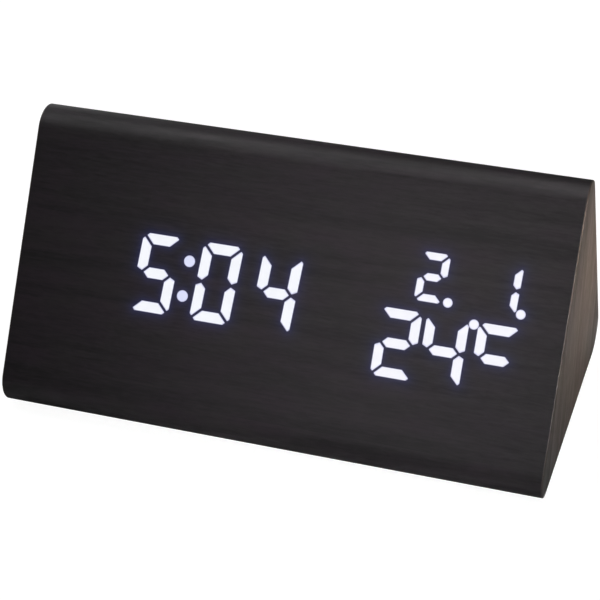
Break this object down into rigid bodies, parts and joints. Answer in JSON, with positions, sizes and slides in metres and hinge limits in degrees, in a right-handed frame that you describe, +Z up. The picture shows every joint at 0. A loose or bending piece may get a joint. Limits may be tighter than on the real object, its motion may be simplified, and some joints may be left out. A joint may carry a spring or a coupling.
{
  "type": "digital alarm clock",
  "caption": "Wedge-shaped wood-look LED alarm clock: lit digits behind the front film, rear button panel, battery tray in the base.",
  "frame": {"origin": "middle of the resting plane, at the level of the feet's soles, under the middle of the case", "axes": "+X along the case to the right as seen from the front, -Y out of the display side, +Z up"},
  "size_m": [0.15, 0.0822, 0.0741],
  "materials": {
    "mdf": "painted black fibreboard, only seen at cut edges",
    "wood_film": "black wood-grain film, satin",
    "end_wood_film": "dark grey-brown wood-grain film, satin",
    "lit_segment": "translucent diffuser, lit white",
    "dark_segment": "translucent diffuser, unlit",
    "reflector": "moulded ABS, black",
    "circuit_board": "glass-epoxy board with green solder mask",
    "component": "moulded epoxy, black",
    "led": "phosphor-filled silicone",
    "panel_plastic": "fine-textured black ABS",
    "button_plastic": "smooth black ABS",
    "plated_steel": "zinc or nickel plated",
    "cell_label": "plain dark sleeve",
    "rubber": "soft black rubber",
    "cable": "PVC insulation"
  },
  "bodies": {
    "root": {"mdf_sleeve": "mdf", "left_end_panel": "mdf", "right_end_panel": "mdf", "wrap_film": "wood_film", "left_end_film": "end_wood_film", "right_end_film": "end_wood_film", "lit_time_segments": "lit_segment", "lit_colon_dots": "lit_segment", "lit_date_segments": "lit_segment", "lit_temperature_segments": "lit_segment", "unlit_segments": "dark_segment", "display_reflector": "reflector", "display_board": "circuit_board", "segment_leds": "led", "display_screws": "plated_steel", "rubber_feet": "rubber", "control_panel": "panel_plastic", "panel_screws": "plated_steel", "main_board": "circuit_board", "board_screws": "plated_steel", "key_switches": "component", "sound_switch_body": "plated_steel", "power_jack": "component", "microphone": "plated_steel", "temperature_sensor": "component", "controller_chip": "component", "clock_crystal": "plated_steel", "alarm_buzzer": "component", "battery_tray": "panel_plastic", "tray_screws": "plated_steel", "battery_cells": "cell_label", "battery_springs": "plated_steel", "contact_plates": "plated_steel", "ribbon_headers": "component", "display_ribbon": "cable", "battery_leads": "cable"},
    "set_button": {"set_button": "button_plastic", "set_switch_plunger": "component"},
    "down_button": {"down_button": "button_plastic", "down_switch_plunger": "component"},
    "up_button": {"up_button": "button_plastic", "up_switch_plunger": "component"},
    "sound_switch": {"sound_switch_knob": "button_plastic"},
    "battery_door": {"battery_door": "panel_plastic"}
  },
  "joints": [
    {"name": "set_press", "type": "slide", "parent": "root", "child": "set_button", "axis": [0, -0.866, -0.5], "range_m": [0, 0.0004], "stiffness_N_per_m": 2500},
    {"name": "down_press", "type": "slide", "parent": "root", "child": "down_button", "axis": [0, -0.866, -0.5], "range_m": [0, 0.0004], "stiffness_N_per_m": 2500},
    {"name": "up_press", "type": "slide", "parent": "root", "child": "up_button", "axis": [0, -0.866, -0.5], "range_m": [0, 0.0004], "stiffness_N_per_m": 2500},
    {"name": "sound_switch_slide", "type": "slide", "parent": "root", "child": "sound_switch", "axis": [1, 0, 0], "range_m": [0, 0.002]},
    {"name": "battery_door_swing", "type": "hinge", "parent": "root", "child": "battery_door", "pos_m": [0, 0.0221, 0.0014], "axis": [1, 0, 0], "range_deg": [0, 50]}
  ]
}
